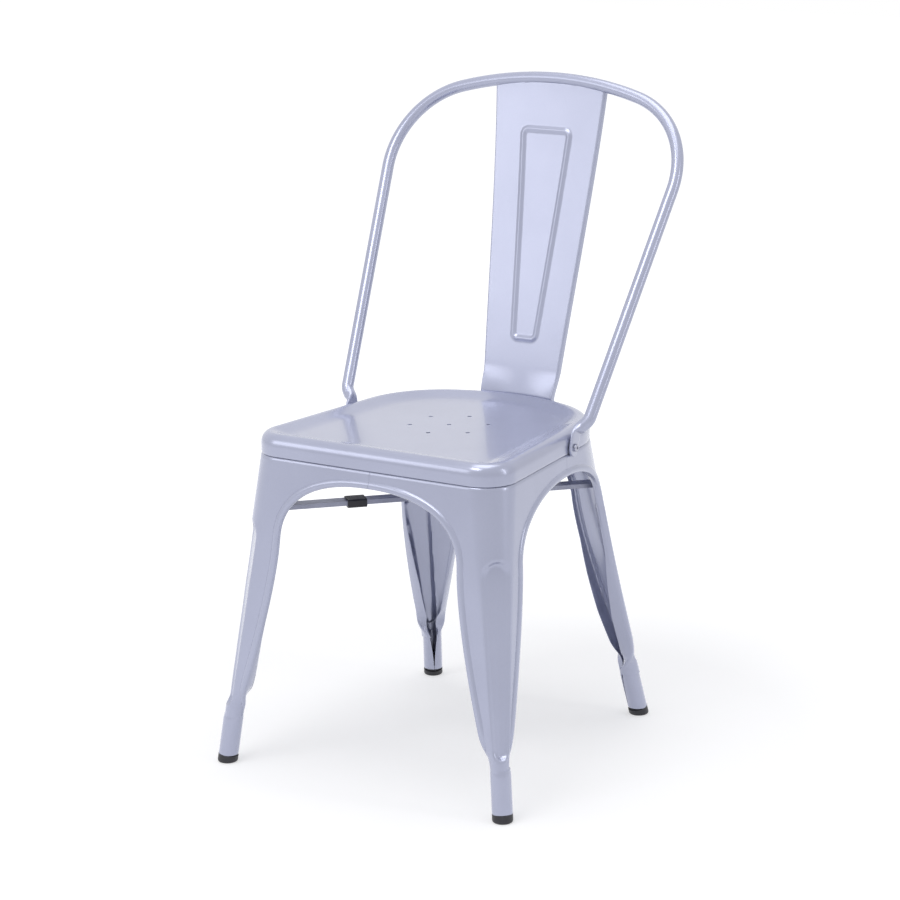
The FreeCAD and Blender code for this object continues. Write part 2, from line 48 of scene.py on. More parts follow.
DRAIN_RING_R, DRAIN_COUNT = 50.3, 6
FOOT_R = 13.0
# Per foot: the tube's axis at FOOT_Z as (x, y), and its lean as (x, y) per mm of height
FEET = {"front": ((206.0, -238.0), (-0.113, 0.108)), "rear": ((163.0, 190.0), (-0.126, -0.229))}
FOOT_Z = 10.0
LOW_Z = 62.0
JOINT_Y = -16.0
RIM_W = 10.0

# Sizes of the visual model alone, millimetres unless noted
JOINT_GAP = 0.15  # from the joint between two legs to the edge of either
WRAP_Z = 106.0  # the leg sheets start to bend round the foot below this height
SLIT = 0.4  # from the middle of the foot's slit to a sheet's edge, radians
SET_BACK = 3.6  # from an arch's edge to the edge of the skin under the rim
RIM_LEAST = 3.6  # least depth of a rim's return
RIM_FULL_Z = 125.0  # above this height a rim has its full width and height
CROWDED_Z = 200.0  # below this height a leg's two rims have to share its room
RIM_SPACE = 7.5  # what a leg's two rims leave between them there
ARCH_POINTS = 110  # points of half an arch
FACING = 0.75  # share of a normal along an axis that counts as facing it
TUCK_DEPTH, TUCK_FROM, TUCK_RISE = 3.2, 402.5, 4.4  # the skin's upper edge, turned in at the seam
SKIN_Z = np.unique(np.concatenate([np.arange(LOW_Z, 110.0, 1.5), np.arange(111.0, 402.0, 2.5),
                                   [402.0, 404.0, 405.3, 406.2, 406.7]]))
FLUTES = {
    "front": dict(low_z=90.0, low_half=12.5, high_z=298.0, high_half=20.0, low_deep=7.8,
                  high_deep=7.0),
    "rear": dict(low_z=91.0, low_half=12.0, high_z=295.0, high_half=18.0, low_deep=7.6,
                 high_deep=6.6),
}
FLUTE_SLOPE, FLUTE_SLOPE_MORE = 3.6, 2.2  # width of a flute's slope, and what it gains higher up
FLUTE_LEAST = 0.8  # least depth at a flute's sides
ARCHES = {
    "front": dict(half=131.5, spring=300.0, top=384.5, power=1.4, square=2.35,
                  foot=FEET["front"][0][0] - FOOT_R - 6.0),
    "rear": dict(half=87.0, spring=300.0, top=382.0, power=1.3, square=2.1,
                 foot=FEET["rear"][0][0] - FOOT_R - 1.0),
    "side_front": dict(half=145.0, spring=300.0, top=379.0, power=1.3, square=2.1,
                       foot=JOINT_Y - (FEET["front"][0][1] + FOOT_R - 3.0)),
    "side_rear": dict(half=120.0, spring=300.0, top=379.0, power=1.3, square=2.1,
                      foot=FEET["rear"][0][1] - 2.0 * FOOT_R + 8.0 - JOINT_Y),
}
# Depth of the rims' returns by height, as (heights, depths)
RETURNS = {
    "front": ([LOW_Z, 78.0, 98.0, 118.0, 150.0, 171.0, 210.0],
              [3.0, 9.0, 16.0, 15.0, 9.0, 5.5, 2.6]),
    "rear": ([LOW_Z, 78.0, 98.0, 150.0, 200.0, 245.0, 310.0],
             [3.0, 9.0, 17.0, 18.0, 14.0, 8.5, 7.0]),
}
EDGE_WIDE, EDGE_HIGH = 12.4, 15.5  # quarter ellipse of the seat's edge
DISH = dict(start=15.0, end=36.0, deep=7.0, crest=2.2, floor=8.0, last=44.5)
DRAIN_R_M, DRAIN_CUT_M, DRAIN_Z_M = 0.003, 0.02, 0.4265  # metres: a drain hole's cutter


def smooth(a, b, x):
    """Smooth step from 0 at a to 1 at b."""
    t = np.clip((np.asarray(x, float) - a) / (b - a), 0.0, 1.0)
    return t * t * (3.0 - 2.0 * t)


def unit(v):
    return v / np.linalg.norm(v)


def directions(pts):
    """Unit tangents along a row of points."""
    tangent = np.gradient(pts, axis=0)
    return tangent / np.linalg.norm(tangent, axis=1)[:, None]


def leg_of(arch):
    return "front" if arch in ("front", "side_front") else "rear"


def foot_axis(which, z):
    (x, y), (lean_x, lean_y) = FEET[which]
    return x + lean_x * (z - FOOT_Z), y + lean_y * (z - FOOT_Z)


# Outlines

def outline(points, radii, inset, arc_n, line_n):
    """Points round a polygon with rounded corners, moved inwards by inset."""
    n = len(points)
    spans = []
    for i in range(n):
        corner = np.array(points[i], float)
        a = unit(np.array(points[i - 1], float) - corner)
        b = unit(np.array(points[(i + 1) % n], float) - corner)
        half = math.acos(max(-1.0, min(1.0, float(a @ b)))) / 2.0
        inward = unit(a + b)
        r = max(radii[i] - inset, 1.0)
        corner = corner + inward * (inset / math.sin(half))
        centre = corner + inward * (r / math.sin(half))
        start = corner + a * (r / math.tan(half)) - centre
        end = corner + b * (r / math.tan(half)) - centre
        t0, t1 = math.atan2(start[1], start[0]), math.atan2(end[1], end[0])
        turn = (t1 - t0 + math.pi) % (2.0 * math.pi) - math.pi
        arc = []
        for k in range(arc_n + 1):
            t = t0 + turn * k / arc_n
            arc.append(centre + r * np.array([math.cos(t), math.sin(t)]))
        spans.append(arc)
    out = []
    for i in range(n):
        out += spans[i]
        start, end = spans[i][-1], spans[(i + 1) % n][0]
        out += [start + (end - start) * k / line_n for k in range(1, line_n)]
    return np.array(out)


def seat_outline(inset, arc_n, line_n):
    """Outline of the seat's skirt, moved inwards by inset."""
    s = SEAT
    points = [(s["front_half"], s["front_y"]), (s["rear_half"], s["corner_y"]), (0.0, s["peak_y"]),
              (-s["rear_half"], s["corner_y"]), (-s["front_half"], s["front_y"])]
    radii = [s["front_r"], s["rear_r"], s["crown_r"], s["rear_r"], s["front_r"]]
    return outline(points, radii, inset, arc_n, line_n)


def skin_outline(z, arc_n, line_n):
    """Outline of the leg skins at height z."""
    s = SEAT
    k = (z - LOW_Z) / (SEAM - LOW_Z)
    fx, fy = foot_axis("front", LOW_Z)
    rx, ry = foot_axis("rear", LOW_Z)
    low = [fx + FOOT_R, fy - FOOT_R, rx + FOOT_R, ry + FOOT_R, ry + FOOT_R + 1.0]
    high = [s["front_half"], s["front_y"], s["rear_half"], s["corner_y"], s["peak_y"]]
    m = [a + (b - a) * k for a, b in zip(low, high)]
    points = [(m[0], m[1]), (m[2], m[3]), (0.0, m[4]), (-m[2], m[3]), (-m[0], m[1])]
    front_r = FOOT_R + (s["front_r"] - FOOT_R) * k
    rear_r = FOOT_R + (s["rear_r"] - FOOT_R) * k
    return outline(points, [front_r, rear_r, s["crown_r"], rear_r, front_r], 0.0, arc_n, line_n)


def flute_depth(across, z, which):
    """How far the skin is pressed in at a distance across from the leg's corner line."""
    f = FLUTES[which]
    run = f["high_z"] - f["low_z"]
    t = np.clip((z - f["low_z"]) / run, 0.0, 1.0)
    half = f["low_half"] + (f["high_half"] - f["low_half"]) * t
    inside = half - np.hypot(across, z - (f["low_z"] + run * t))
    k = np.clip((z - LOW_Z) / (SEAM - LOW_Z), 0.0, 1.0)
    deep = f["low_deep"] + (f["high_deep"] - f["low_deep"]) * t
    radius = FOOT_R + (SEAT[which + "_r"] - FOOT_R) * k
    floor = np.maximum(deep - across ** 2 / (2.0 * radius), FLUTE_LEAST)
    slope = FLUTE_SLOPE + FLUTE_SLOPE_MORE * smooth(250.0, 318.0, z)
    return smooth(-1.0, slope, inside) * floor


# Arches

def closed_foot(name):
    """Where an arch's edge ends, so that the two sheet edges leave the foot's slit open."""
    x, y = foot_axis(leg_of(name), LOW_Z)
    axis = abs(y - JOINT_Y) if name.startswith("side") else x
    return axis - FOOT_R * (math.radians(135.0) - SLIT)


@lru_cache(maxsize=None)
def half_arch(name):
    """One side of an arch as rows of (distance from its middle, height), from the crown down."""
    a = ARCHES[name]
    pts = []
    n_arc = ARCH_POINTS // 2
    for i in range(n_arc):
        t = math.radians(90.0 - 90.0 * i / n_arc)
        wide, high = math.cos(t) ** (2.0 / a["square"]), math.sin(t) ** (2.0 / a["square"])
        pts.append((a["half"] * wide, a["spring"] + (a["top"] - a["spring"]) * high))
    n_low = ARCH_POINTS - n_arc
    for i in range(n_low + 1):
        k = i / n_low
        z = a["spring"] + (LOW_Z - a["spring"]) * k
        w = a["half"] + (a["foot"] - a["half"]) * k ** a["power"]
        pts.append((w - (a["foot"] - closed_foot(name)) * float(smooth(96.0, LOW_Z, z)), z))
    return np.array(pts)


@lru_cache(maxsize=None)
def set_back_arch(name):
    """The line of half_arch, moved into the leg by SET_BACK."""
    pts = half_arch(name)
    tangent = directions(pts)
    return pts + np.stack([-tangent[:, 1], tangent[:, 0]], 1) * SET_BACK


def skin_edge(name, z):
    """Distance of the skin's edge from an arch's middle at height z."""
    q = set_back_arch(name)
    return float(np.interp(-z, -q[:, 1], q[:, 0], left=0.0))


def arch_edge(name, z):
    """Distance of an arch's edge from its middle at height z below its crown."""
    pts = half_arch(name)
    return np.interp(-z, -pts[:, 1], pts[:, 0])


def relax(pts, rounds=6):
    """Smooth a row of points a little, its ends kept."""
    pts = pts.copy()
    for _ in range(rounds):
        pts[1:-1] = 0.25 * pts[:-2] + 0.5 * pts[1:-1] + 0.25 * pts[2:]
    return pts


# Surface of the skin as a function

@lru_cache(maxsize=None)
def rounded_rows(z):
    arc_n, line_n = 24, 30
    block = arc_n + line_n
    o = skin_outline(z, arc_n, line_n)
    side = o[:block + arc_n + 1]
    rear = o[block:2 * block + arc_n + 1][::-1]
    front = np.vstack([o[4 * block:], o[:arc_n + 1]])
    return front, rear[np.argsort(rear[:, 0])], side[np.argsort(side[:, 1])]


def rows_at(z):
    """Outline of the skins at height z as three rows of points: front, rear and right side."""
    return rounded_rows(round(float(z), 1))


def on_front(x, z):
    p = rows_at(z)[0]
    return np.array([x, float(np.interp(x, p[:, 0], p[:, 1])), z])


def on_rear(x, z):
    p = rows_at(z)[1]
    return np.array([x, float(np.interp(x, p[:, 0], p[:, 1])), z])


def on_side(y, z):
    p = rows_at(z)[2]
    return np.array([float(np.interp(y, p[:, 1], p[:, 0])), y, z])


def normal_at(place, a, z, outward):
    """Normal of the skin at a point of place, on the side that outward points to."""
    h = 1.5
    u = place(a + h, z) - place(a - h, z)
    v = place(a, z + h) - place(a, z - h)
    n = unit(np.cross(u, v))
    return n if n @ outward > 0 else -n


# Mesh helpers

def shade(bm, angle):
    """Shade smooth, with edges sharper than the angle left sharp."""
    limit = math.radians(angle)
    for e in bm.edges:
        if len(e.link_faces) == 2:
            e.smooth = e.calc_face_angle(0.0) <= limit
    for f in bm.faces:
        f.smooth = True


def new_object(name, verts, faces, angle):
    """An object from points in millimetres."""
    mesh = bpy.data.meshes.new(name)
    mesh.from_pydata([tuple(np.asarray(v, float) * 0.001) for v in verts], [],
                     [tuple(f) for f in faces])
    mesh.update()
    obj = bpy.data.objects.new(name, mesh)
    bpy.context.scene.collection.objects.link(obj)
    bm = bmesh.new()
    bm.from_mesh(mesh)
    bmesh.ops.remove_doubles(bm, verts=bm.verts, dist=1e-6)
    bmesh.ops.recalc_face_normals(bm, faces=bm.faces)
    shade(bm, angle)
    bm.to_mesh(mesh)
    bm.free()
    return obj


def grid_faces(rows, cols, closed=False):
    faces = []
    for i in range(rows - 1):
        for j in range(cols if closed else cols - 1):
            here, above, after = i * cols, (i + 1) * cols, (j + 1) % cols
            faces.append((here + j, here + after, above + after, above + j))
    return faces


def capped_tube(name, rows, angle):
    """A tube through rows of points, each row closed, with flat ends."""
    cols = len(rows[0])
    faces = grid_faces(len(rows), cols, closed=True)
    faces.append(tuple(range(cols))[::-1])
    faces.append(tuple((len(rows) - 1) * cols + k for k in range(cols)))
    return new_object(name, [p for row in rows for p in row], faces, angle)


def join(objects, name):
    bpy.ops.object.select_all(action="DESELECT")
    for o in objects:
        o.select_set(True)
    bpy.context.view_layer.objects.active = objects[0]
    bpy.ops.object.join()
    objects[0].name = name
    objects[0].data.name = name
    return objects[0]


def mirror_copy(obj, name):
    """The piece on the other side of the chair's middle plane."""
    mesh = obj.data.copy()
    mesh.transform(Matrix.Diagonal((-1.0, 1.0, 1.0, 1.0)))
    mesh.flip_normals()
    other = bpy.data.objects.new(name, mesh)
    mesh.name = name
    bpy.context.scene.collection.objects.link(other)
    return other


# Legs

def ended(line, axis, at, first):
    """A row of points cut at a joint: those beyond it all move to the crossing point."""
    line = line.copy()
    middle = len(line) // 2
    found = np.nonzero((line[:, axis] - at) * (line[middle, axis] - at) < 0.0)[0]
    found = found[found < middle] if first else found[found > middle]
    if len(found) == 0:
        return line
    k, inner = (found[-1], found[-1] + 1) if first else (found[0], found[0] - 1)
    t = (at - line[k, axis]) / (line[inner, axis] - line[k, axis])
    point = line[k] + (line[inner] - line[k]) * t
    if first:
        line[:k + 1] = point
    else:
        line[k:] = point
    return line


def wrapped(p, which, face=None):
    """A point of a leg, bent round the foot's axis where the sheet closes into the tube."""
    x, y, z = p
    f = float(smooth(WRAP_Z, LOW_Z + 3.0, z))
    if f <= 0.001:
        return p
    cx, cy = foot_axis(which, z)
    turn = -1.0 if which == "front" else 1.0
    px, py = x - cx, (y - cy) * turn
    if face is None:
        face = "end" if px < 0.0 else "side"
    along, above = (-px, py) if face == "end" else (-py, px)
    if along <= 0.0:
        return p
    rho = FOOT_R / f
    arm = rho - (FOOT_R - above)
    along, above = arm * math.sin(along / rho), FOOT_R - rho + arm * math.cos(along / rho)
    px, py = (-along, above) if face == "end" else (above, -along)
    return np.array([cx + px, cy + py * turn, z])


def skin_rows(which):
    """Outer face of a right leg's sheet: per height its points, their outward directions, z."""
    arc_n, line_n = 24, 60
    block = arc_n + line_n
    if which == "front":
        idx = np.arange(4 * block + arc_n + line_n // 2, 6 * block + 1) % (5 * block)
        corner = arc_n // 2
    else:
        idx = np.arange(arc_n, 2 * block + arc_n // 2 + 1)
        corner = block + arc_n // 2
    where = int(np.nonzero(idx == corner)[0][0])
    rows = []
    for z in SKIN_Z:
        pts = skin_outline(z, arc_n, line_n)[idx]
        step = np.linalg.norm(np.diff(pts, axis=0), axis=1)
        length = np.concatenate([[0.0], np.cumsum(step)])
        tangent = directions(pts)
        outward = np.stack([tangent[:, 1], -tangent[:, 0]], 1)
        past = max(0.0, (z - TUCK_FROM) / TUCK_RISE)
        tuck = TUCK_DEPTH * (1.0 - math.sqrt(max(0.0, 1.0 - past ** 2)))
        depth = flute_depth(length - length[where], z, which) + tuck
        rows.append((pts - outward * depth[:, None], outward, z))
    return rows


def on_a_leg(centre, out):
    """Whether a cell of the skin lies on a leg and not in one of the arches."""
    x, y, z = centre
    keep = True
    if out[1] < -FACING and z < ARCHES["front"]["top"] + SET_BACK:
        keep = abs(x) > skin_edge("front", z)
    elif out[1] > FACING and z < ARCHES["rear"]["top"] + SET_BACK:
        keep = abs(x) > skin_edge("rear", z)
    if keep and out[0] > 0.0 and z < ARCHES["side_front"]["top"] + SET_BACK:
        d = y - JOINT_Y
        if d < 0:
            keep = -d > skin_edge("side_front", z) or out[0] < FACING and out[1] < 0
        else:
            keep = d > skin_edge("side_rear", z)
    return keep


def skin_sheet(which):
    """Skin of the right front or right rear leg: outer and inner face of the sheet."""
    rows = skin_rows(which)
    cols = len(rows[0][0])
    verts, faces = [], []
    for inside in (0.0, SHEET):
        for pts, outward, z in rows:
            line = pts - outward * inside
            if which == "front":
                line = ended(line, 0, JOINT_GAP, first=True)
                line = ended(line, 1, JOINT_Y - JOINT_GAP, first=False)
            else:
                line = ended(line, 1, JOINT_Y + JOINT_GAP, first=True)
                line = ended(line, 0, JOINT_GAP, first=False)
            verts += [(x, y, z) for x, y in line]
    count = cols * len(rows)
    for f in grid_faces(len(rows), cols):
        row, col = divmod(f[0], cols)
        centre = np.mean([verts[i] for i in f], axis=0)
        flat = len({tuple(np.round(verts[i], 3)) for i in f}) < 4
        if not flat and on_a_leg(centre, rows[row][1][col]):
            faces += [f, tuple(i + count for i in reversed(f))]
    edges = {}
    for f in faces[::2]:
        for a, b in zip(f, f[1:] + f[:1]):
            edges.setdefault((min(a, b), max(a, b)), []).append((a, b))
    for found in edges.values():
        if len(found) == 1:
            a, b = found[0]
            faces.append((b, a, a + count, b + count))
    used = sorted({i for f in faces for i in f})
    order = {i: k for k, i in enumerate(used)}
    bent = [wrapped(verts[i], which) for i in used]
    return new_object(which + "_skin", bent, [[order[i] for i in f] for f in faces], 50)


def return_depth(which, z):
    return float(np.interp(z, *RETURNS[which]))


def room(name, z):
    """How deep a rim may reach at its leg before it meets the rim of the leg's other arch."""
    other = {"front": "side_front", "side_front": "front",
             "rear": "side_rear", "side_rear": "rear"}[name]
    which = leg_of(name)
    x, y = foot_axis(which, z)
    edge = arch_edge(other, z)
    if other.startswith("side"):
        gap = abs(y - (JOINT_Y - edge if which == "front" else JOINT_Y + edge))
    else:
        gap = x - edge
    return FOOT_R + gap - RIM_SPACE


def rim_section(deep, fade):
    """Section of a rim as (distance from the arch's edge, height over the skin)."""
    proud = 0.25 + 2.15 * fade
    wide = RIM_W * (0.55 + 0.45 * fade)
    section = []
    for t in np.linspace(0.0, math.pi, 11):
        b = wide / 2.0 * (1.0 + math.cos(t))
        h = proud * math.sin(t) ** (0.8 if t > math.pi / 2.0 else 1.7)
        if b < 2.2:
            h -= (2.2 - b) ** 2 * 0.32
        section.append((b, h))
    hem = -max(deep, RIM_LEAST)
    return section + [(-0.15, -3.2), (-0.2, hem + 0.7), (0.2, hem), (1.0, hem), (1.35, hem + 0.7),
                      (1.4, -3.4), (2.4, -2.0 + 0.3 * proud), (wide / 2.0, proud - 2.2),
                      (wide - 0.6, -SHEET - 0.3)]


def rim(parts, place, outward, centre):
    """Rolled rim along one arch, from foot to foot.

    parts names its two half arches, place is the face of the skin that it lies on, and centre is
    the arch's middle on that face.
    """
    outward = np.array(outward, float)
    before = relax(half_arch(parts[0]))[::-1] * (-1.0, 1.0)
    after = relax(half_arch(parts[1]))[1:]
    names = [parts[0]] * len(before) + [parts[1]] * len(after)
    line = np.vstack([before, after])
    tangent = directions(line)
    away = np.stack([-tangent[:, 1], tangent[:, 0]], 1)
    legs = [leg_of(part) for part in parts]
    rows = []
    for i, (w, z) in enumerate(line):
        if away[i] @ np.array([w, 60.0]) < 0:
            away[i] = -away[i]
        deep = return_depth(legs[0], z)
        if legs[0] != legs[1]:
            mix = float(smooth(-14.0, 14.0, w))
            deep = deep * (1 - mix) + return_depth(legs[1], z) * mix
        if z < CROWDED_Z:
            deep = max(min(deep, room(names[i], z)), 3.0)
        base = place(centre + w, z)
        normal = normal_at(place, centre + w, z, outward)
        step = place(centre + w + away[i][0] * 2.0, z + away[i][1] * 2.0) - base
        step = unit(step - normal * (step @ normal))
        section = rim_section(deep, float(smooth(LOW_Z + 4.0, RIM_FULL_Z, z)))
        points = [base + step * b + normal * h for b, h in section]
        flip = np.array([-1.0, 1.0, 1.0]) if points[0][0] < 0.0 else np.ones(3)
        face = "side" if names[i].startswith("side") else "end"
        rows.append([np.array(wrapped(q * flip, leg_of(names[i]), face)) * flip for q in points])
    return rows


def split_rows(rows, axis, at):
    """Two halves of a rim, each ending JOINT_GAP short of the joint between two legs."""
    first = [r for r in rows if np.mean([p[axis] for p in r]) < at - JOINT_GAP]
    second = [r for r in rows if np.mean([p[axis] for p in r]) > at + JOINT_GAP]

    def moved(row, target):
        row = np.array(row)
        row[:, axis] = target
        return list(row)

    return (first + [moved(first[-1], at - JOINT_GAP)],
            [moved(second[0], at + JOINT_GAP)] + second)


def foot_tube(which):
    """Round lower end of a leg: a rolled tube with a slit that opens upwards on its inner side."""
    (fx, fy), _ = FEET[which]
    inner_dir = math.atan2(-fy, -fx)
    slit_z, slit_rise = 18.0, 50.0
    rows = []
    for z in np.concatenate([[10.3, 10.6, 11.2], np.arange(13.0, 68.0, 2.5)]):
        cx, cy = foot_axis(which, z)
        gap = 0.02 if z < slit_z else 0.05 + 0.42 * ((z - slit_z) / slit_rise) ** 1.5
        rounding = 0.5 if z < 10.5 else 0.15 if z < 11.0 else 0.0
        full = FOOT_R - (0.8 * float(smooth(58.0, 66.0, z)) + rounding)
        angles = np.linspace(inner_dir + gap, inner_dir + 2 * math.pi - gap, 56)
        row = [(cx + full * math.cos(t), cy + full * math.sin(t), z) for t in angles]
        bore = full - SHEET
        row += [(cx + bore * math.cos(t), cy + bore * math.sin(t), z) for t in angles[::-1]]
        rows.append(row)
    return capped_tube(which + "_foot_tube", rows, 40)


def build_legs():
    """The four leg pressings, each one skin, its rolled rims and its foot tube."""
    front_rim = rim(("front", "front"), on_front, (0, -1, 0), 0.0)
    rear_rim = rim(("rear", "rear"), on_rear, (0, 1, 0), 0.0)
    side_rim = rim(("side_front", "side_rear"), on_side, (1, 0, 0), JOINT_Y)
    side_front, side_rear = split_rows(side_rim, 1, JOINT_Y)
    rims = {"front": (split_rows(front_rim, 0, 0.0)[1], side_front),
            "rear": (split_rows(rear_rim, 0, 0.0)[1], side_rear)}
    right_legs = {}
    for which, (end_rows, side_rows) in rims.items():
        parts = [skin_sheet(which), capped_tube(which + "_end_rim", end_rows, 50),
                 capped_tube(which + "_side_rim", side_rows, 50), foot_tube(which)]
        right_legs[which] = join(parts, "leg_" + which + "_right")
    built = {}
    for which, right_leg in right_legs.items():
        built[which + "_right_leg"] = right_leg
        built[which + "_left_leg"] = mirror_copy(right_leg, "leg_" + which + "_left")
    return built


# Seat

def dish_drop(inset):
    """Depth of the dish at a distance from the seat's edge: crest, even slope and flat floor."""
    start, end, deep, crest, floor = (DISH[k] for k in ("start", "end", "deep", "crest", "floor"))
    slope = deep / (end - start)
    if inset < start + crest:
        return slope * max(inset - start + crest, 0.0) ** 2 / (4.0 * crest)
    if inset > end - floor:
        return deep - slope * max(end + floor - inset, 0.0) ** 2 / (4.0 * floor)
    return slope * (inset - start)


def seat_profile():
    """Profile of the seat from the skirt's hem over the edge into the dish: (inset, height)."""
    pts = [(1.3, SEAM + 0.6), (0.35, SEAM + 0.1), (0.0, SEAM + 0.9)]
    pts += [(0.0, z) for z in np.linspace(SEAM + 3.0, SEAT_TOP - 16.0, 5)]
    for t in np.linspace(4, 90, 20):
        a = math.radians(t)
        pts.append((EDGE_WIDE - EDGE_WIDE * math.cos(a),
                    SEAT_TOP - EDGE_HIGH + EDGE_HIGH * math.sin(a)))
    for inset in list(np.arange(13.0, 20.0, 0.6)) + list(np.arange(20.5, DISH["last"], 1.5)):
        pts.append((inset, SEAT_TOP - dish_drop(inset)))
    return np.array(pts)


def build_seat():
    """The seat pressing as one closed sheet, with its drain holes cut through the floor."""
    arc_n, line_n = 22, 40
    top = seat_profile()
    tangent = directions(top)
    under = top + np.stack([tangent[:, 1], -tangent[:, 0]], 1) * SHEET
    under[:, 0] = np.maximum(under[:, 0], 1.2)
    last = seat_outline(DISH["last"], arc_n, line_n)
    centre = np.array([0.0, SEAT_CENTRE_Y])
    top_z = SEAT_TOP - DISH["deep"]
    under_z = top_z - SHEET

    def rings(profile, floor_z):
        found = []
        for inset, z in profile:
            o = seat_outline(max(inset, 0.0), arc_n, line_n)
            found.append(np.column_stack([o, np.full(len(o), z)]))
        for k in (0.93, 0.84, 0.72, 0.6, 0.48, 0.36, 0.24, 0.12):
            o = centre + (last - centre) * k
            found.append(np.column_stack([o, np.full(len(o), floor_z)]))
        return found

    rows = rings(under, under_z)[::-1] + rings(top, top_z)
    cols = len(rows[0])
    verts = [tuple(p) for ring in rows for p in ring]
    faces = grid_faces(len(rows), cols, closed=True)
    a = len(verts)
    verts += [(centre[0], centre[1], under_z), (centre[0], centre[1], top_z)]
    base = (len(rows) - 1) * cols
    for j in range(cols):
        faces.append((j, a, (j + 1) % cols))
        faces.append((base + j, base + (j + 1) % cols, a + 1))
    pan = new_object("seat", verts, faces, 60)

    holes = [(0.0, SEAT_CENTRE_Y)]
    for i in range(DRAIN_COUNT):
        t = math.radians(30.0 + 60.0 * i)
        holes.append((DRAIN_RING_R * math.cos(t), SEAT_CENTRE_Y + DRAIN_RING_R * math.sin(t)))
    cutters = []
    for x, y in holes:
        bpy.ops.mesh.primitive_cylinder_add(vertices=40, radius=DRAIN_R_M, depth=DRAIN_CUT_M,
                                            location=(x * 0.001, y * 0.001, DRAIN_Z_M))
        cutters.append(bpy.context.object)
    cutter = join(cutters, "hole_cutter")
    cut = pan.modifiers.new("holes", "BOOLEAN")
    cut.operation = "DIFFERENCE"
    cut.solver = "EXACT"
    cut.object = cutter
    bpy.context.view_layer.objects.active = pan
    bpy.ops.object.modifier_apply(modifier="holes")
    bpy.data.objects.remove(cutter, do_unlink=True)
    bm = bmesh.new()
    bm.from_mesh(pan.data)
    shade(bm, 50)
    bm.to_mesh(pan.data)
    bm.free()
    return pan


# Back hoop: one tube along a bent line, its ends flattened on the seat's skirt

HOOP = dict(crown_y=243.0, crown_z=842.0, lean=math.radians(29.8), spread=math.radians(5.95),
            crown_r=466.0, corner_r=116.0, half_angle=math.radians(16.65), end_z=450.0, tube_r=8.0)
TAB = dict(y=0.0, z=413.0, lean=math.radians(23.0), half=11.5, thick=4.0, length=16.0, off=0.5)
BEND_N = 34  # points of the bend between tube and tab
TUBE_N = 44  # points round the tube


def hoop_point(x, s):
    """Point of the hoop's leaning plane at x, a distance s below its crown."""
    return np.array([x, HOOP["crown_y"] - s * math.sin(HOOP["lean"]),
                     HOOP["crown_z"] - s * math.cos(HOOP["lean"])])


def skirt_frame(y, z):
    """Point on the right side of the seat's skirt and its outward direction."""
    s = SEAT
    k = (y - s["front_y"]) / (s["corner_y"] - s["front_y"])
    point = np.array([s["front_half"] + (s["rear_half"] - s["front_half"]) * k, y, z])
    out = np.array([s["corner_y"] - s["front_y"], s["front_half"] - s["rear_half"], 0.0])
    return point, unit(out)


def tube_line():
    """Axis of the right half of the hoop's round tube, from the crown to the tube's end."""
    h = HOOP
    cx = h["crown_r"] * math.sin(h["half_angle"])
    cs = h["crown_r"] * (1.0 - math.cos(h["half_angle"]))
    ox = cx - h["corner_r"] * math.sin(h["half_angle"])
    os_ = cs + h["corner_r"] * math.cos(h["half_angle"])
    path = []
    for t in np.linspace(0.0, h["half_angle"], 40):
        path.append(hoop_point(h["crown_r"] * math.sin(t), h["crown_r"] * (1 - math.cos(t))))
    start, stop = -math.pi / 2.0 + h["half_angle"], h["spread"]
    for t in np.linspace(start, stop, 70)[1:]:
        path.append(hoop_point(ox + h["corner_r"] * math.cos(t), os_ + h["corner_r"] * math.sin(t)))
    lx, ls = ox + h["corner_r"] * math.cos(stop), os_ + h["corner_r"] * math.sin(stop)
    end_s = (h["crown_z"] - h["end_z"]) / math.cos(h["lean"])
    for k in np.linspace(0.0, 1.0, 70)[1:]:
        s = ls + (end_s - ls) * k
        path.append(hoop_point(lx - (s - ls) * math.tan(h["spread"]), s))
    return np.array(path)


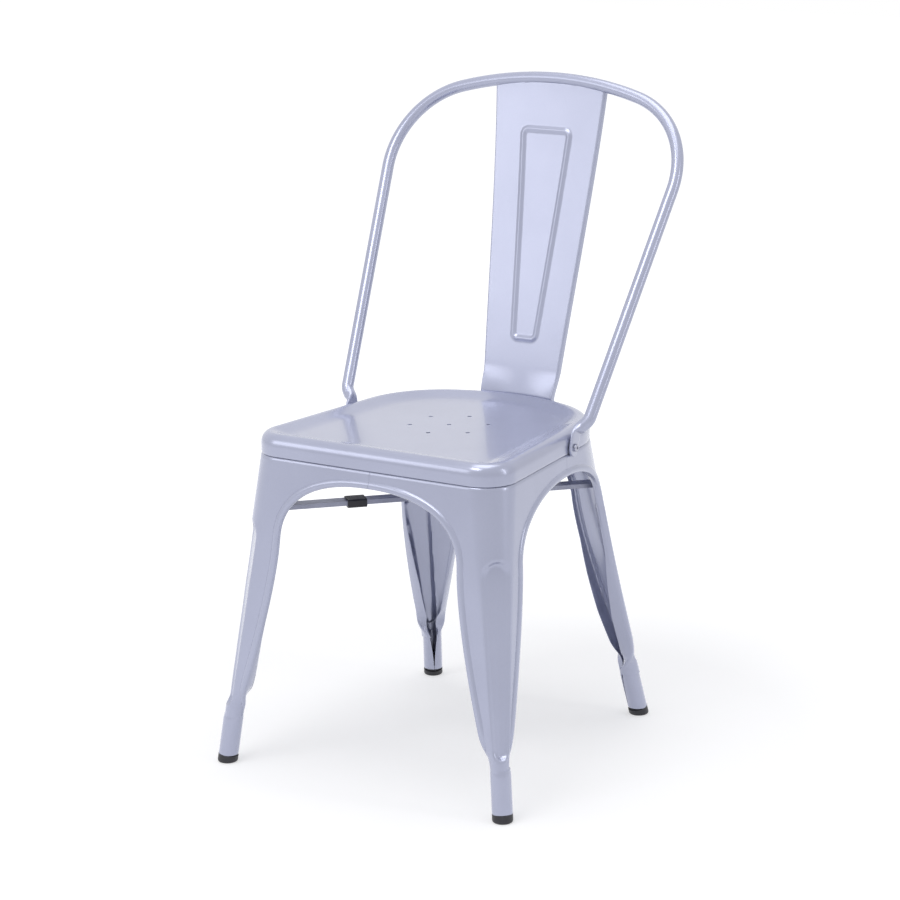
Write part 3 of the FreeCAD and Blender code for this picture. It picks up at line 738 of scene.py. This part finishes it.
def build_hoop():
    """The hoop: the round tube, the bend at its end and the flat tab, mirrored to the left."""
    path = tube_line()
    base, out = skirt_frame(TAB["y"], TAB["z"])
    level = np.array([-out[1], out[0], 0.0])
    up = level * math.sin(TAB["lean"]) + np.array([0, 0, 1.0]) * math.cos(TAB["lean"])
    side = np.cross(up, out)
    centre = base + out * (TAB["off"] + TAB["thick"] / 2.0)
    tube_end, tube_dir = path[-1], unit(path[-1] - path[-2])
    top = centre + up * TAB["length"]
    reach = np.linalg.norm(top - tube_end)
    bend = []
    for k in np.linspace(0.0, 1.0, BEND_N)[1:]:
        h00, h10 = 2 * k ** 3 - 3 * k ** 2 + 1, k ** 3 - 2 * k ** 2 + k
        h01, h11 = -2 * k ** 3 + 3 * k ** 2, k ** 3 - k ** 2
        bend.append(h00 * tube_end + h10 * tube_dir * reach * 1.1
                    + h01 * top - h11 * up * reach * 0.9)
    drop = TAB["length"] + TAB["half"] - 0.25
    tab = [top - up * drop * (1.0 - (1.0 - k) ** 1.6) for k in np.linspace(0.0, 1.0, 24)[1:]]
    line = np.vstack([path, bend, tab])

    rows = []
    first_bend = len(path) - 1
    plane_normal = np.array([0.0, -math.cos(HOOP["lean"]), math.sin(HOOP["lean"])])
    tube_r = HOOP["tube_r"]
    for i, here in enumerate(line):
        if i == 0:
            d = np.array([1.0, 0.0, 0.0])
        else:
            d = unit(line[min(i + 1, len(line) - 1)] - line[i - 1])
        k = float(smooth(first_bend + BEND_N * 0.4, first_bend + BEND_N * 0.97, i))
        if i >= first_bend + BEND_N - 1:
            d = -up
            k = 1.0
        wide_dir = side * k - plane_normal * (1.0 - k)
        wide_dir = unit(wide_dir - d * (wide_dir @ d))
        thin_dir = np.cross(d, wide_dir)
        half_w = tube_r + (TAB["half"] - tube_r) * k
        half_t = tube_r + (TAB["thick"] / 2.0 - tube_r) * float(smooth(0.0, 1.0, k))
        power = 2.0 + 2.6 * k
        beyond = (centre - here) @ up
        if beyond > 0.0:
            half_w = math.sqrt(max(TAB["half"] ** 2 - beyond ** 2, 0.6))
            half_t = min(half_t, 0.4 + half_w * 0.9)
        row = []
        for j in range(TUBE_N):
            t = 2 * math.pi * j / TUBE_N
            c, s = math.cos(t), math.sin(t)
            row.append(here + wide_dir * half_w * math.copysign(abs(c) ** (2 / power), c)
                       + thin_dir * half_t * math.copysign(abs(s) ** (2 / power), s))
        rows.append(row)
    mirror = np.array([-1.0, 1.0, 1.0])
    left = [[p * mirror for p in row] for row in rows[:0:-1]]
    return capped_tube("hoop", left + rows, 70)


# Back panel

SPLAT = dict(low_z=411.0, mid_z=630.0, end_z=846.0, step=1.6, low_half=53.5,
             widening=(83.2 - 53.5) / (832.0 - 411.0), fold_r=2.6, below_axis=5.6, behind_axis=4.0,
             ahead=5.65, slope=48.97, bow=3.37, twist=4.05)
HEM_BEND = 433.0, 424.0  # heights between which the panel turns down behind the skirt
HEM_WRAP = 466.0, 430.0  # heights between which it takes on the curve of the seat's rear edge
BEAD = dict(low_z=500.0, high_z=780.0, low_half=21.0, high_half=40.0, width=9.0, corner=12.0,
            proud=2.0)


def splat_front(z):
    """Depth of the panel's front face at height z."""
    u = (z - SPLAT["mid_z"]) / (HOOP["crown_z"] - SPLAT["mid_z"])
    below = (SPLAT["slope"] * (1.0 - u) - SPLAT["bow"] * (1.0 - u * u)
             - SPLAT["twist"] * (1.0 - u ** 3))
    return HOOP["crown_y"] - SPLAT["ahead"] - below


def seat_rear_y():
    """Where the skirt's rear crosses the chair's middle plane."""
    s = SEAT
    slope = math.atan2(s["peak_y"] - s["corner_y"], s["rear_half"])
    return s["peak_y"] - s["crown_r"] * (1.0 / math.cos(slope) - 1.0)


def splat_line():
    """Heights and depths along the panel's front, from its lower edge to its top."""
    zz = np.arange(SPLAT["low_z"], SPLAT["end_z"], SPLAT["step"])
    mix = smooth(*HEM_BEND, zz)
    return zz, splat_front(zz) * (1.0 - mix) + (seat_rear_y() + 0.3) * mix


def splat_wrap(x, z):
    """How far the panel's lower end comes forward at its sides, following the seat's rear edge."""
    return x * x / (2.0 * SEAT["crown_r"]) * smooth(*HEM_WRAP, z)


def bead_height(x, z):
    """Height of the raised bead over the panel, from the distance to its rounded outline."""
    b = BEAD
    inset = b["width"] / 2.0
    slope = (b["high_half"] - b["low_half"]) / (b["high_z"] - b["low_z"])
    lo_z, hi_z = b["low_z"] + inset, b["high_z"] - inset
    lo_h = b["low_half"] - inset + slope * inset
    hi_h = b["high_half"] - inset - slope * inset
    corners = [(lo_h, lo_z), (hi_h, hi_z), (-hi_h, hi_z), (-lo_h, lo_z)]
    ring = outline(corners, [b["corner"] - inset] * 4, 0.0, 16, 40)
    p = np.stack([np.ravel(x), np.ravel(z)], 1)
    best = np.full(len(p), 1e9)
    for a, c in zip(ring, np.roll(ring, -1, axis=0)):
        d = c - a
        t = np.clip(((p - a) @ d) / max(d @ d, 1e-9), 0.0, 1.0)
        q = p - (a + t[:, None] * d)
        best = np.minimum(best, np.hypot(q[:, 0], q[:, 1]))
    k = np.clip(best / (b["width"] / 2.0), 0.0, 1.0)
    return (b["proud"] * (np.cos(k * math.pi) * 0.5 + 0.5) ** 0.8).reshape(np.shape(x))


def build_splat():
    """The panel: a bent sheet with a raised bead, its long edges folded back."""
    zz, yy = splat_line()
    face = np.linspace(-1.0, 1.0, 121)
    r = SPLAT["fold_r"]
    fold = [math.radians(t) for t in np.linspace(0.0, 90.0, 7)[1:]]
    plain = (4.0, 5.5, 7.0, 7.9)
    dy = np.gradient(yy, zz)
    lean = np.hypot(1.0, dy)
    ny, nz = -1.0 / lean, dy / lean
    rows_front, rows_back = [], []
    for i, z in enumerate(zz):
        half = SPLAT["low_half"] + SPLAT["widening"] * (z - SPLAT["low_z"])
        xs = face * (half - r)
        lift = bead_height(xs, np.full_like(xs, z))
        ahead = splat_wrap(xs, z)
        front = [(x, yy[i] - w + ny[i] * h, z + nz[i] * h) for x, w, h in zip(xs, ahead, lift)]
        back = [(x, yy[i] - w + ny[i] * (h - SHEET), z + nz[i] * (h - SHEET))
                for x, w, h in zip(xs, ahead, lift)]
        edge = yy[i] - float(splat_wrap(half, z))
        right = [(half + (r * math.sin(a) - r), edge + (r - r * math.cos(a)), z) for a in fold]
        right += [(half, edge + d, z) for d in plain]
        inner = r - SHEET
        right_in = [(half - r + inner * math.sin(a), edge + r - inner * math.cos(a), z)
                    for a in fold]
        right_in += [(half - SHEET, edge + d, z) for d in plain]
        left = [(-x, y, h) for x, y, h in right]
        left_in = [(-x, y, h) for x, y, h in right_in]
        rows_front.append(left[::-1] + front + right)
        rows_back.append(left_in[::-1] + back + right_in)
    n, cols = len(rows_front), len(rows_front[0])
    count = n * cols
    verts = [v for row in rows_front + rows_back for v in row]
    faces = []
    for f in grid_faces(n, cols):
        faces += [f, tuple(i + count for i in reversed(f))]
    for i in range(n - 1):
        for c in (0, cols - 1):
            a, b = i * cols + c, (i + 1) * cols + c
            faces.append((a, b, b + count, a + count))
    high = (n - 1) * cols
    faces += [(j, j + 1, j + 1 + count, j + count) for j in range(cols - 1)]
    # The upper edge follows the underside of the tube.
    crown_r = HOOP["crown_r"]
    for i, (x, y, z) in enumerate(verts):
        s = crown_r - math.sqrt(crown_r ** 2 - x * x)
        _, axis_y, axis_z = hoop_point(x, s)
        limit = axis_z - SPLAT["below_axis"]
        if z > limit:
            verts[i] = (x, min(y, axis_y + SPLAT["behind_axis"]), limit)
    for j in range(high, high + cols - 1):
        faces.append((j, j + count, j + 1 + count, j + 1))
    return new_object("splat", verts, faces, 55)


# Cross brace

BAR_END, BAR_TRIM = 0.012, 0.0022  # metres: what counts as a bar's end, and how far it is drawn in


def trimmed_bar(node):
    """A brace bar as in the CAD, its ends drawn in so that they stop inside the leg skins."""
    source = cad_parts[node]
    mesh = source.data.copy()
    mesh.name = node + "_trimmed"
    mesh.transform(source.matrix_world)
    middle = sum((v.co for v in mesh.vertices), Vector()) / len(mesh.vertices)
    reach = max((v.co - middle).length for v in mesh.vertices)
    for v in mesh.vertices:
        arm = v.co - middle
        if arm.length > reach - BAR_END:
            v.co = v.co - arm.normalized() * BAR_TRIM
    bar = bpy.data.objects.new(node + "_trimmed", mesh)
    bpy.context.scene.collection.objects.link(bar)
    return bar


# The brace's pads, foot caps, screws and nuts keep their CAD shapes; they get materials below.

seat = build_seat()
legs = build_legs()
hoop = build_hoop()
splat = build_splat()
bars = {node: trimmed_bar(node) for node in ("brace_lower_bar", "brace_upper_bar")}

for piece, nodes in ((seat, ["seat_pan"]), (hoop, ["back_hoop"]), (splat, ["back_splat"])):
    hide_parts(*nodes)
    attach(piece, "root")
for node, piece in legs.items():
    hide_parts(node)
    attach(piece, "root")
for node, piece in bars.items():
    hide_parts(node)
    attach(piece, "root")


# Materials

def nodes_of(name):
    mat = bpy.data.materials.new(name)
    mat.use_nodes = True
    tree = mat.node_tree
    tree.nodes.clear()
    out = tree.nodes.new("ShaderNodeOutputMaterial")
    bsdf = tree.nodes.new("ShaderNodeBsdfPrincipled")
    tree.links.new(bsdf.outputs[0], out.inputs[0])
    return mat, tree, bsdf


def noise(tree, coord, scale, detail, rough):
    n = tree.nodes.new("ShaderNodeTexNoise")
    n.inputs["Scale"].default_value = scale
    n.inputs["Detail"].default_value = detail
    n.inputs["Roughness"].default_value = rough
    tree.links.new(coord, n.inputs["Vector"])
    return n.outputs["Fac"]


def ramp(tree, fac, stops):
    r = tree.nodes.new("ShaderNodeValToRGB")
    while len(r.color_ramp.elements) < len(stops):
        r.color_ramp.elements.new(0.5)
    for e, (position, colour) in zip(r.color_ramp.elements, stops):
        e.position = position
        e.color = (*colour, 1.0)
    tree.links.new(fac, r.inputs["Fac"])
    return r.outputs["Color"]


def srgb(*levels):
    """A colour from levels of 255 as it is written, in the linear values that Blender takes."""
    shares = (level / 255.0 for level in levels)
    return tuple(v / 12.92 if v <= 0.04045 else ((v + 0.055) / 1.055) ** 2.4 for v in shares)


def maths(tree, kind, a, b):
    m = tree.nodes.new("ShaderNodeMath")
    m.operation = kind
    for i, v in enumerate((a, b)):
        if isinstance(v, (int, float)):
            m.inputs[i].default_value = v
        else:
            tree.links.new(v, m.inputs[i])
    return m.outputs[0]


def blend(tree, a, a_share, b, b_share):
    return maths(tree, "ADD", maths(tree, "MULTIPLY", a, a_share),
                 maths(tree, "MULTIPLY", b, b_share))


def spread(tree, value, from_low, from_high, to_low, to_high):
    """A value of one range, mapped to another."""
    r = tree.nodes.new("ShaderNodeMapRange")
    for socket, number in (("From Min", from_low), ("From Max", from_high),
                           ("To Min", to_low), ("To Max", to_high)):
        r.inputs[socket].default_value = number
    tree.links.new(value, r.inputs["Value"])
    return r.outputs["Result"]


def bump(tree, bsdf, height, strength, distance):
    b = tree.nodes.new("ShaderNodeBump")
    b.inputs["Strength"].default_value = strength
    b.inputs["Distance"].default_value = distance
    tree.links.new(height, b.inputs["Height"])
    tree.links.new(b.outputs[0], bsdf.inputs["Normal"])


def paint():
    """Glossy lavender-silver powder coat: fine flake, slight orange peel, a few faint scuffs."""
    mat, tree, bsdf = nodes_of("lavender_silver_paint_look")
    coord = tree.nodes.new("ShaderNodeTexCoord").outputs["Object"]
    broad = noise(tree, coord, 9.0, 4.0, 0.55)
    flake = noise(tree, coord, 1400.0, 2.0, 0.6)
    peel = noise(tree, coord, 60.0, 1.0, 0.4)
    scuff = noise(tree, coord, 12.0, 6.0, 0.6)
    colour = ramp(tree, blend(tree, broad, 0.6, flake, 0.4),
                  [(0.3, srgb(172, 176, 198)), (0.5, srgb(177, 181, 203)),
                   (0.7, srgb(182, 186, 208))])
    tree.links.new(colour, bsdf.inputs["Base Color"])
    tree.links.new(spread(tree, scuff, 0.3, 0.7, 0.25, 0.27), bsdf.inputs["Roughness"])
    bsdf.inputs["Metallic"].default_value = 0.47
    bsdf.inputs["Coat Weight"].default_value = 0.4
    bsdf.inputs["Coat Roughness"].default_value = 0.05
    bump(tree, bsdf, peel, 0.03, 0.0003)
    return mat


def shaded_brace_paint():
    """The frame's lavender paint on the brace bars, duller, with its colour made darker and greyer
    as painted shade from the seat above.
    """
    mat, tree, bsdf = nodes_of("brace_paint_painted_shade_look")
    coord = tree.nodes.new("ShaderNodeTexCoord").outputs["Object"]
    broad = noise(tree, coord, 22.0, 5.0, 0.6)
    fine = noise(tree, coord, 600.0, 2.0, 0.5)
    # Stops darker and greyer than the frame's paint: painted shade of the bars' place under the
    # seat.
    colour = ramp(tree, blend(tree, broad, 0.7, fine, 0.3),
                  [(0.3, srgb(158, 161, 180)), (0.7, srgb(182, 185, 204))])
    tree.links.new(colour, bsdf.inputs["Base Color"])
    bsdf.inputs["Metallic"].default_value = 0.3
    bsdf.inputs["Roughness"].default_value = 0.34
    bump(tree, bsdf, fine, 0.1, 0.0004)
    return mat


def moulded(name, dark, light, rough):
    """Black moulded plastic or rubber with a fine grain and dusty wear."""
    mat, tree, bsdf = nodes_of(name)
    coord = tree.nodes.new("ShaderNodeTexCoord").outputs["Object"]
    broad = noise(tree, coord, 60.0, 5.0, 0.6)
    grain = noise(tree, coord, 900.0, 3.0, 0.6)
    colour = ramp(tree, blend(tree, broad, 0.65, grain, 0.35), [(0.35, dark), (0.7, light)])
    tree.links.new(colour, bsdf.inputs["Base Color"])
    tree.links.new(spread(tree, broad, 0.0, 1.0, rough - 0.06, rough + 0.1),
                   bsdf.inputs["Roughness"])
    bump(tree, bsdf, grain, 0.35, 0.0003)
    return mat


def zinc():
    """Plain zinc of the screws and nuts."""
    mat, tree, bsdf = nodes_of("zinc_screw_look")
    coord = tree.nodes.new("ShaderNodeTexCoord").outputs["Object"]
    broad = noise(tree, coord, 260.0, 4.0, 0.6)
    tree.links.new(ramp(tree, broad, [(0.3, srgb(150, 152, 168)), (0.7, srgb(190, 192, 206))]),
                   bsdf.inputs["Base Color"])
    bsdf.inputs["Metallic"].default_value = 0.8
    bsdf.inputs["Roughness"].default_value = 0.32
    return mat


# The brace look is darker than the paint because it carries painted shade from under the seat.
looks = {"paint": paint(), "brace": shaded_brace_paint(),
         "pad": moulded("black_pad_plastic_look", srgb(30, 30, 38), srgb(50, 50, 58), 0.42),
         "rubber": moulded("black_foot_rubber_look", srgb(32, 32, 38), srgb(56, 56, 62), 0.5),
         "zinc": zinc()}


def wear(obj, look):
    obj.data.materials.clear()
    obj.data.materials.append(looks[look])


for piece in [seat, hoop, splat] + list(legs.values()):
    wear(piece, "paint")
for piece in bars.values():
    wear(piece, "brace")
for node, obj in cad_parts.items():
    look = None
    if node.startswith("brace_pad"):
        look = "pad"
    elif node.startswith("brace"):
        look = "brace"
    elif node.startswith("foot_cap"):
        look = "rubber"
    elif node.startswith("hoop_"):
        look = "zinc"
    if look:
        for slot in obj.material_slots:
            slot.material = looks[look]


# Camera, from the photograph's solved perspective

CAM = dict(at=(1.8700, -3.01633, 1.29352), azimuth=31.98, down=14.31, roll=-0.49, focal_px=2836.35)
PHOTO_PX, SENSOR_MM = 900.0, 36.0
az, dn, rl = (math.radians(CAM[k]) for k in ("azimuth", "down", "roll"))
forward = Vector((-math.sin(az) * math.cos(dn), math.cos(az) * math.cos(dn), -math.sin(dn)))
right = Vector((math.cos(az), math.sin(az), 0.0))
upward = right.cross(forward)
cam_x = right * math.cos(rl) + upward * math.sin(rl)
cam_y = right * -math.sin(rl) + upward * math.cos(rl)
turn = Matrix((cam_x, cam_y, -forward)).transposed().to_4x4()
camera = bpy.data.objects.new("camera", bpy.data.cameras.new("camera"))
camera.data.lens = CAM["focal_px"] / PHOTO_PX * SENSOR_MM
camera.data.sensor_width = SENSOR_MM
camera.data.clip_start = 0.05
camera.data.clip_end = 60.0
camera.matrix_world = Matrix.Translation(Vector(CAM["at"])) @ turn
bpy.context.scene.collection.objects.link(camera)
bpy.context.scene.camera = camera


# Lamps, floor and world

def light(name, at, target, size_x, size_y, power):
    data = bpy.data.lights.new(name, "AREA")
    data.shape = "RECTANGLE"
    data.size = size_x
    data.size_y = size_y
    data.energy = power
    obj = bpy.data.objects.new(name, data)
    obj.location = at
    obj.rotation_euler = (Vector(target) - Vector(at)).to_track_quat("-Z", "Y").to_euler()
    obj.visible_camera = False
    bpy.context.scene.collection.objects.link(obj)


light("overhead", (0.0, -0.1, 3.2), (0.0, -0.1, 0.5), 2.0, 2.0, 26.0)
light("front_top", (-0.35, -2.0, 2.9), (0.0, -0.1, 0.5), 1.5, 0.8, 19.0)
light("front_left", (-1.95, -2.5, 1.66), (0.0, 0.1, 0.6), 1.4, 1.3, 9.0)
light("right_side", (2.6, 0.3, 1.3), (0.0, 0.0, 0.4), 0.25, 1.6, 5.0)


def seen_ray(tree, path):
    """1 for the rays that show the background: those of the camera, of gloss and of glass."""
    seen = maths(tree, "MAXIMUM", path.outputs["Is Camera Ray"], path.outputs["Is Glossy Ray"])
    return maths(tree, "MAXIMUM", seen, path.outputs["Is Transmission Ray"])


FLOOR_HALF = 9.0  # metres
GLOW_NEAR, GLOW_FAR = 0.52, 0.8  # what the floor adds to its lit paper near the chair and far off
FADE_FROM, FADE_TO = 0.45, 1.3  # metres from the chair's middle

floor_mesh = bpy.data.meshes.new("floor")
floor_mesh.from_pydata([(x * FLOOR_HALF, y * FLOOR_HALF, 0)
                        for x, y in ((-1, -1), (1, -1), (1, 1), (-1, 1))], [], [(0, 1, 2, 3)])
floor = bpy.data.objects.new("floor", floor_mesh)
bpy.context.scene.collection.objects.link(floor)
mat, tree, bsdf = nodes_of("pale_floor")
tree.nodes.remove(bsdf)
out = [n for n in tree.nodes if n.type == "OUTPUT_MATERIAL"][0]
paper = tree.nodes.new("ShaderNodeBsdfDiffuse")
paper.inputs["Color"].default_value = (0.62, 0.62, 0.622, 1.0)
# Seen directly the floor is only just white, so that the chair's shadow stays on it.
place = tree.nodes.new("ShaderNodeNewGeometry")
away = tree.nodes.new("ShaderNodeVectorMath")
away.operation = "LENGTH"
tree.links.new(place.outputs["Position"], away.inputs[0])
fade = spread(tree, away.outputs["Value"], FADE_FROM, FADE_TO, GLOW_NEAR, GLOW_FAR)
glow = tree.nodes.new("ShaderNodeEmission")
both = tree.nodes.new("ShaderNodeAddShader")
path = tree.nodes.new("ShaderNodeLightPath")
mirrored = maths(tree, "MULTIPLY", path.outputs["Is Glossy Ray"], GLOW_FAR)
tree.links.new(maths(tree, "MAXIMUM", fade, mirrored), glow.inputs["Strength"])
switch = tree.nodes.new("ShaderNodeMixShader")
tree.links.new(paper.outputs[0], both.inputs[0])
tree.links.new(glow.outputs[0], both.inputs[1])
tree.links.new(seen_ray(tree, path), switch.inputs[0])
tree.links.new(paper.outputs[0], switch.inputs[1])
tree.links.new(both.outputs[0], switch.inputs[2])
tree.links.new(switch.outputs[0], out.inputs[0])
floor_mesh.materials.append(mat)

world = bpy.data.worlds.new("studio")
bpy.context.scene.world = world
world.use_nodes = True
tree = world.node_tree
tree.nodes.clear()
out = tree.nodes.new("ShaderNodeOutputWorld")
soft = tree.nodes.new("ShaderNodeBackground")
soft.inputs["Color"].default_value = (0.93, 0.94, 1.0, 1.0)
soft.inputs["Strength"].default_value = 0.45
white = tree.nodes.new("ShaderNodeBackground")
white.inputs["Color"].default_value = (1.0, 1.0, 1.0, 1.0)
white.inputs["Strength"].default_value = 1.0
pick = tree.nodes.new("ShaderNodeMixShader")
tree.links.new(seen_ray(tree, tree.nodes.new("ShaderNodeLightPath")), pick.inputs[0])
tree.links.new(soft.outputs[0], pick.inputs[1])
tree.links.new(white.outputs[0], pick.inputs[2])
tree.links.new(pick.outputs[0], out.inputs[0])

bpy.context.scene.view_settings.view_transform = "Standard"

bpy.context.view_layer.update()
